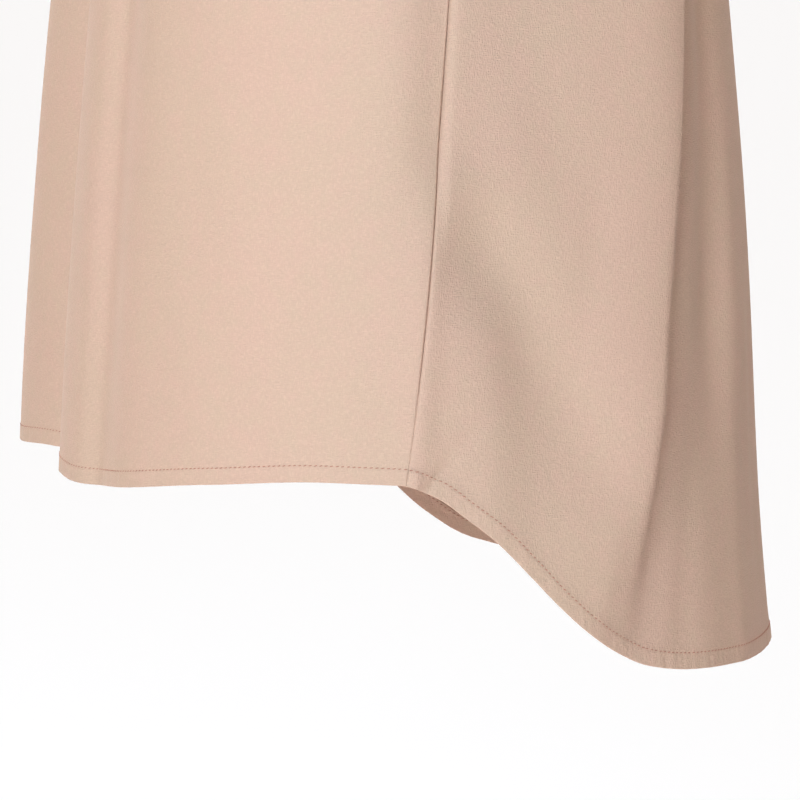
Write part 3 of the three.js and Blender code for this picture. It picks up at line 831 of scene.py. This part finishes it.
# %% Form of a sleeve
shoulder_slope, underarm_slope = 35.0, 66.0    # degrees below level
shoulder_pull, cuff_pull = 0.72, 0.85          # how long each direction is kept
sleeve_lean = 0.15                             # how far its front and back lines lean outwards
arm_radius, arm_length = 62.0, 150.0           # mm, round figures that size the sleeve's small creases
sleeve_crease_end = 12.0
sleeve_folds = [
    # name, turn round the arm (0 outermost, 90 front, 180 underarm), spread, height, starts, full, twist
    ("front drag", 118, 17, -5, 0.1, 0.5, 18),
    ("front swell", 70, 20, 3, 0.2, 0.8, 4),
    ("back drag", -122, 16, -6, 0.1, 0.55, -20),
    ("back swell", -78, 22, 3, 0.2, 0.9, 2),
]
sleeve_creases = [
    # name, turn and part along at one end, turn and part at the other, width, height
    ("from the armpit up the front", 150, 0.12, 84, 0.46, 7, -1.6),
    ("second from the armpit, front", 160, 0.30, 104, 0.62, 6, -1.2),
    ("from the armpit up the back", -148, 0.10, -88, 0.42, 7, -1.7),
    ("second from the armpit, back", -158, 0.28, -108, 0.66, 6, -1.1),
    ("sleeve head, front", 40, 0.04, 52, 0.30, 9, -1.0),
    ("sleeve head, back", -38, 0.05, -56, 0.34, 10, -1.1),
    ("swell over the arm", 12, 0.25, 4, 0.85, 14, 0.9),
    ("drop to the cuff, front", 64, 0.55, 58, 0.95, 9, -0.9),
    ("drop to the cuff, back", -52, 0.60, -60, 0.97, 8, -0.8),
]


def sleeve_line(turn, s):
    """A point of the left sleeve before its folds, at a turn round the arm and a part s along it: the
    start, leaving direction, end and arriving direction, each times its Hermite weight."""
    turn, s = np.broadcast_arrays(turn, s)
    round_arm = np.radians(turn)
    part = 1 - np.abs(turn) / 180
    front_angle, z = armhole(False, part)
    back_angle, _ = armhole(True, part)
    angle = np.where(turn < 0, back_angle, front_angle)
    start = form_point(angle, z)
    tilt = math.radians(cuff["tilt"])
    along_arm = np.array([math.sin(tilt), 0, -math.cos(tilt)])
    across_arm = np.array([math.cos(tilt), 0, math.sin(tilt)])
    end = (np.array([cuff["x"], cuff["y"], cuff["z"]])
           + across_arm * (cuff["half_wide"] * np.cos(round_arm))[..., None]
           + np.array([0, -1, 0]) * (cuff["half_deep"] * np.sin(round_arm))[..., None])
    slope = np.radians(shoulder_slope + (underarm_slope - shoulder_slope) * (1 - np.cos(round_arm)) / 2)
    leave = np.stack([np.cos(slope), -sleeve_lean * np.sin(round_arm), -np.sin(slope)], axis=-1)
    reach = np.linalg.norm(end - start, axis=-1)[..., None]
    a, b, c, d = hermite(s[..., None])
    return start * a + leave * b * shoulder_pull * reach + end * c + along_arm * d * cuff_pull * reach


# The middle line of the left sleeve, from which its folds are measured outwards.
arm_parts = np.linspace(-0.01, 1.01, 80)
arm_line = sleeve_line(np.linspace(-180, 180, 24, endpoint=False)[:, None], arm_parts).mean(axis=0)


def sleeve_point(turn, s, scale, shift):
    """The folded sleeve: its line, moved out from the row's middle by folds and creases."""
    turn, s = np.broadcast_arrays(turn, s)
    point, middle = sleeve_line(turn, s), point_on_line(s, arm_parts, arm_line)
    high = 0 * s
    for _, at, spread, height, starts, full, twist in sleeve_folds:
        off = wrap(turn - at - shift - twist * s)
        high = high + scale * height * ease(starts, full, s) * bell(off, spread)
    for _, turn_a, s_a, turn_b, s_b, width, height in sleeve_creases:
        run = np.array([math.radians(turn_b - turn_a) * arm_radius, (s_b - s_a) * arm_length])
        x = np.radians(wrap(turn - shift - turn_a)) * arm_radius
        aside, past = beside_line(x, (s - s_a) * arm_length, run)
        high = high + scale * height * np.exp(-(aside / width) ** 2 - (past / sleeve_crease_end) ** 2)
    return point + unit(point - middle) * high[..., None]


# %% [markdown]
# A sleeve's rows run from its cuff's turning up to the armhole, and its columns close at the underarm
# seam. The right one is the mirrored form with its folds turned and lower, so that the two don't match.
# Its last row is laid just inside the panels' rolled edges. Cut on its own, it would leave slits of light.

# %% Sleeves
underarm_gap = 1.2         # mm between the first and last column, across the underarm seam
tuck_in = 0.15             # mm that the last row lies inside the panels' edges
tuck_reach = 14.0          # mm over which the sleeve gives way to them


def armhole_edge(side, turn):
    """Where the panels' rolled edges run round the armhole, as on the left side."""
    part = 1 - np.abs(turn) / 180
    front_line, back_line = (point_on_line(part, *rolled_edges[back, side]) for back in (False, True))
    return np.where(turn[:, None] < 0, back_line, front_line) * [side, 1, 1]


def sleeve_grid(at):
    """The turns round the arm and the parts along it of a sleeve's grid. The hem's rows are corrected
    three times by what they miss of their true distance from the cuff, over the speed there."""
    beside_seam = np.array([0, 0.35, 0.7, 1.2, 2.0, 3.4]) / arm_radius * 180 / np.pi
    fixed = np.concatenate([-180 + beside_seam, [0], 180 - beside_seam[::-1]])
    turn = spread_out(fixed, lambda _: 2.6)[:-1]
    on_hem = np.broadcast_to(turn, (len(hem_up), len(turn)))
    cuff_edge, above_edge = at(on_hem, 1 + 0 * on_hem), at(on_hem, 0.99 + 0 * on_hem)
    speed = np.linalg.norm(cuff_edge - above_edge, axis=-1) / 0.01
    s_hem = 1 - hem_up[:, None] / speed
    for _ in range(3):
        gone = np.linalg.norm(at(on_hem, s_hem) - cuff_edge, axis=-1)
        s_hem = s_hem + (gone - hem_up[:, None]) / speed
    share = np.concatenate([np.linspace(1, 0.03, 61)[1:], [0.02, 0.011, 0.0065, 0.003, 0]])[:, None]
    s = np.concatenate([s_hem, share * s_hem[-1]])
    return np.broadcast_to(turn, s.shape), s


def sleeve(name, side, scale, shift):
    """A sleeve of that side, its folds scaled and shifted, with the hem and the rolled edges."""
    at = lambda turn, s: sleeve_point(turn, s, scale, shift)
    turn, s = sleeve_grid(at)
    points = at(turn, s)
    normals = unit(np.cross(at(turn + 0.5, s) - at(turn - 0.5, s), at(turn, s + 0.002) - at(turn, s - 0.002)))
    across, gone = lengths_along(points, 1), lengths_along(points[::-1], 0)[::-1]
    around = across[:, -1:] + underarm_gap
    underarm = np.minimum(across, around - across)
    above_hem, inset = hem_rows(len(points))
    relief = unevenness(turn * arm_radius / crease_reach, s * arm_length) * ease(0, 12, gone)
    inward = inset + seam_dip(underarm) + seam_dip(gone) - hem_relief(above_hem, across) - relief
    outward = unit(points - points.mean(axis=1, keepdims=True))
    normals = np.where((normals * outward).sum(-1, keepdims=True) < 0, -normals, normals)
    points = points - normals * inward[..., None]
    meet = armhole_edge(side, turn[-1]) - tuck_in * normals[-1] - points[-1]
    points = points + meet * bell(gone, tuck_reach)[..., None]

    middle = across[:, across.shape[1] // 2, None]
    uv = uv_round(across - middle, around - middle, gone)
    if side < 0:
        points, normals = points * [-1, 1, 1], normals * [-1, 1, 1]
    else:
        points, normals, uv = points[:, ::-1], normals[:, ::-1], uv[:, ::-1]
    piece = thicken(mesh_from_grid(name, points, uv, above_hem, closed=True))
    print(name, points.shape[:2], "points, cuff", round(float(around[stitch_row, 0])), "mm round;",
          "its last row moved by up to", round(float(np.linalg.norm(meet, axis=-1).max()), 1), "mm")
    return piece, stitch_lines(points, normals)


sleeve_left, cuff_hem_left = sleeve("sleeve_left_cloth", 1, 1.0, 0.0)
sleeve_right, cuff_hem_right = sleeve("sleeve_right_cloth", -1, 0.8, 9.0)

# %% [markdown]
# ## Neck band
#
# The band is a strip folded lengthwise and sewn on by both edges, so it is made as one profile, up the
# outside of the form, over a round top and down inside, that is carried round the neck.

# %% Neck band
band_fold = 0.8            # mm, half the band's thickness at its top
column_gap = 1.8           # mm from the last column to the first
band_outside = np.array([0, 0.03, 0.07, 0.12, 0.2, 0.35, 0.5, 0.65, 0.8, 0.9, 0.95])
band_over = np.radians([-90, -60, -30, 0, 30, 60, 90])
band_share = np.concatenate([band_outside, 0.95 + 0.05 * np.cos(band_over)[1:-1], band_outside[::-1]])
band_inset = np.concatenate([0 * band_outside, band_fold * (1 + np.sin(band_over))[1:-1],
                             0 * band_outside + 2 * band_fold])


def neck_line(share, count):
    """The closed line round the neck at a share of the band's width, as angles and heights."""
    along = np.linspace(0, 1, count, endpoint=False)
    angles, heights = [], []
    for back, side, part in ((False, 1, 1 - along), (True, 1, along),
                             (True, -1, 1 - along), (False, -1, along)):
        low_angle, low_z = neck_edge(back, part)
        high_angle, high_z = neck_edge(back, part, top_of_band=True)
        angles.append(side * (low_angle + (high_angle - low_angle) * share))
        heights.append(low_z + (high_z - low_z) * share)
    return np.concatenate(angles, axis=-1), np.concatenate(heights, axis=-1)


def neck_band(name):
    """The band's rows up its outside, over the top and down its inside, closed round the neck."""
    angle, z = neck_line(band_share[:, None], 90)
    normals = form_normal(angle, np.minimum(z, rings[0, 0] - 0.5))
    up = band_share[:, None] * band_width
    across = lengths_along(form_point(angle, z), 1)
    wave = 0.12 * np.sin(across / 5.3) * np.sin(across / 17 + 1) * np.sin(np.pi * band_share)[:, None]
    points = form_point(angle, z) - normals * (band_inset[:, None] + seam_dip(up) - wave)[..., None]
    end = across[:, -1:] + column_gap
    uv = uv_round(across, end, up + 0 * across)
    piece = thicken(mesh_from_grid(name, points, uv, up, closed=True))
    print(name, points.shape[:2], "points,", round(float(end[0, 0])), "mm round")
    return piece


band = neck_band("neck_band_cloth")

# The band's seam allowance is stitched down to the front and back, just below the seam.
below_seam = 1.6           # mm
neck_angle, neck_z = neck_line(-below_seam / band_width, 90)
neck_line_points, neck_normals = cloth_on_form(neck_angle, neck_z)
neck_line_points = neck_line_points - neck_normals * seam_dip(below_seam)

# %% [markdown]
# ## Stitches
#
# Each stitch is a short thread that rises from the cloth, runs a little aslant and dives in again. They
# could be drawn on, but as real pieces they catch light and give the hem its scale. Each has few faces,
# since there are over seventeen hundred, and all of one line are one mesh.

# %% Stitches
stitch_pitch = 2.6         # mm from stitch to stitch
stitch_length = 1.6
thread_radius = 0.21
stitch_slant = 13.0        # degrees from the line
dip_height, dip_depth = 0.10, 0.30     # mm, over the cloth at a stitch's middle, and down to its ends
dice = np.random.default_rng(7)

# One stitch of unit length along x: rings of six points, thin and low at both ends.
ring_along = np.array([-0.5, -0.42, -0.2, 0.2, 0.42, 0.5])
ring_thick = np.array([0.4, 0.85, 1.0, 1.0, 0.85, 0.4])
ring_turn = np.radians(np.arange(0, 360, 60) + 30)


def stitches(name, line, normals, closed=False):
    """Stitches along a line of points in millimetres on a surface with those normals."""
    if closed:
        line, normals = np.concatenate([line, line[:1]]), np.concatenate([normals, normals[:1]])
    gone = lengths_along(line, 0)
    count = int(gone[-1] / stitch_pitch)
    at = (np.arange(count) + 0.5) * gone[-1] / count + dice.normal(0, 0.05, count)
    centre, up = point_on_line(at, gone, line), unit(point_on_line(at, gone, normals))
    ahead = point_on_line(at + 0.6, gone, line) - point_on_line(at - 0.6, gone, line)
    ahead = unit(ahead - up * (ahead * up).sum(-1, keepdims=True))
    aside = np.cross(up, ahead)
    slant = np.radians(stitch_slant + dice.normal(0, 3, count))[:, None]
    ahead, aside = (ahead * np.cos(slant) + aside * np.sin(slant),
                    aside * np.cos(slant) - ahead * np.sin(slant))

    length = stitch_length * (1 + dice.normal(0, 0.05, count))[:, None, None]
    x = ring_along[:, None] * length
    thick = thread_radius * ring_thick[:, None]
    y = thick * np.cos(ring_turn)
    z = thick * np.sin(ring_turn) + dip_height - dip_depth * (2 * ring_along[:, None]) ** 4
    rings_of = (centre[:, None, None] + ahead[:, None, None] * x[..., None]
                + aside[:, None, None] * y[None, ..., None] + up[:, None, None] * z[None, ..., None])
    corners = np.arange(36).reshape(6, 6)
    first = 36 * np.arange(count)[:, None, None]
    ends = np.stack([corners[0][::-1], corners[-1]])
    faces = (quads_of(corners, closed=True) + first).reshape(-1, 4).tolist()
    faces += (ends + first).reshape(-1, 6).tolist()
    print(name, count, "stitches")
    return new_piece(name, rings_of, faces)


threads = {}
for piece, row, lines, closed in [
        (front, "front_hem_stitches", front_hem, False), (back, "back_hem_stitches", back_hem, False),
        (sleeve_left, "left_cuff_stitches", cuff_hem_left, True),
        (sleeve_right, "right_cuff_stitches", cuff_hem_right, True)]:
    outside, inside = lines
    threads[piece] = [stitches(row, *outside, closed), stitches(row + "_inside", *inside, closed)]
threads[band] = [stitches("neck_stitches", neck_line_points, neck_normals, closed=True)]

# %% [markdown]
# ## Cloth and thread
#
# The cloth is a dusty rose tan and nearly matt. Its yarns are dyed a little unevenly, so it is speckled
# along both threads of the weave, and softly cloudy over a centimetre and a hand's width. Real yarns
# are 0.2 to 0.3 mm thick. They are drawn twice as thick, so that they are still seen from three metres.
# The pattern follows the cut, and so breaks at the seams.

# %% Cloth
cloth = new_material("matt woven microfibre", Roughness=0.82, Specular_IOR_Level=0.25,
                     # Fine fibres, which light up at grazing angles.
                     Sheen_Weight=0.22, Sheen_Roughness=0.3, Sheen_Tint=linear("#f6dccb"))
nodes = cloth.node_tree
surface = nodes.nodes["Principled BSDF"]
cut = add_node(nodes, "UVMap", {"uv_map": "cut"})

# Five noises over the cut, each with its blots to a metre along the weft and along the warp.
pattern = {}
for name, along_weft, along_warp, detail in [
        ("warp yarns", 1700, 420, 1.0), ("weft yarns", 420, 1700, 1.0),
        ("clouds", 120, 95, 2.0), ("patches", 16, 12, 1.0), ("puckers", 240, 25, 1.0)]:
    stretched = add_node(nodes, "VectorMath", {"operation": "MULTIPLY"},
                         input_0=cut, input_1=(along_weft, along_warp, 1))
    pattern[name] = add_node(nodes, "TexNoise", {"noise_dimensions": "2D"}, Vector=stretched,
                             Scale=1.0, Detail=detail, Roughness=0.6)

# Pinker or yellower, by the clouds and the larger patches.
drift = add_node(nodes, "Math", {"operation": "ADD"}, input_0=pattern["clouds"], input_1=pattern["patches"])
share = add_node(nodes, "MapRange", Value=drift, From_Min=0.75, From_Max=1.25)
hue = add_node(nodes, "Mix", {"data_type": "RGBA"}, Factor=share,
               input_6=linear("#c09781"), input_7=linear("#bd9880"))

# Lighter by both sets of yarns: from 3 per cent darker than the hue to single specks 7 per cent lighter.
yarns = add_node(nodes, "Math", {"operation": "ADD"},
                 input_0=pattern["warp yarns"], input_1=pattern["weft yarns"])
shade = add_node(nodes, "MapRange", Value=yarns, From_Min=0.9, From_Max=1.35, To_Min=0.973, To_Max=1.07)
speckled = add_node(nodes, "VectorMath", {"operation": "SCALE"}, Vector=hue.outputs[2], Scale=shade)

# The yarns stand up from the cloth, the highest by about a tenth of a millimetre.
weave = add_node(nodes, "Bump", Height=yarns, Strength=1.0, Distance=0.00024)

# Below its stitches a hem puckers in waves about four millimetres long, which die out just above it.
hem_place = add_node(nodes, "Attribute", {"attribute_name": "above_hem"})
on_hem = add_node(nodes, "MapRange", smooth, Value=hem_place.outputs["Fac"],
                  From_Min=0.006, From_Max=0.013, To_Min=1.0, To_Max=0.0)
waves = add_node(nodes, "Math", {"operation": "MULTIPLY"}, input_0=pattern["puckers"], input_1=on_hem)
puckered = add_node(nodes, "Bump", Height=waves, Strength=1.0, Distance=0.0004, Normal=weave)
set_inputs(nodes, surface, {"Base_Color": speckled, "Normal": puckered})

# Sewing thread is smoother than the cloth, and here reddish brown and darker.
thread = new_material("spun sewing thread", Base_Color=linear("#a0614a"), Roughness=0.6)
print("materials:", [material.name for material in (cloth, thread)])

# %% [markdown]
# ## What each piece stands for
#
# Every piece rides on the one body, hides the imported piece it stands for, and is given its material.
# The table gives the size of each cut, laid flat.

# %% Pieces and cuts
cuts = [
    # piece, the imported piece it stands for, flat width and length in metres, flat area in square metres
    (front, "front_panel", (0.57, 0.69), 0.318),
    (back, "back_panel", (0.70, 0.78), 0.402),
    (sleeve_left, "sleeve_left", (0.50, 0.25), 0.0625),
    (sleeve_right, "sleeve_right", (0.50, 0.25), 0.0625),
    (band, "neck_band", (0.634, 0.022), 0.0135),
]
for piece, stands_for, flat, area in cuts:
    piece.data.materials.append(cloth)
    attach(piece, "root")
    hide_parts(stands_for)
    for line in threads[piece]:
        line.data.materials.append(thread)
        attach(line, "root")
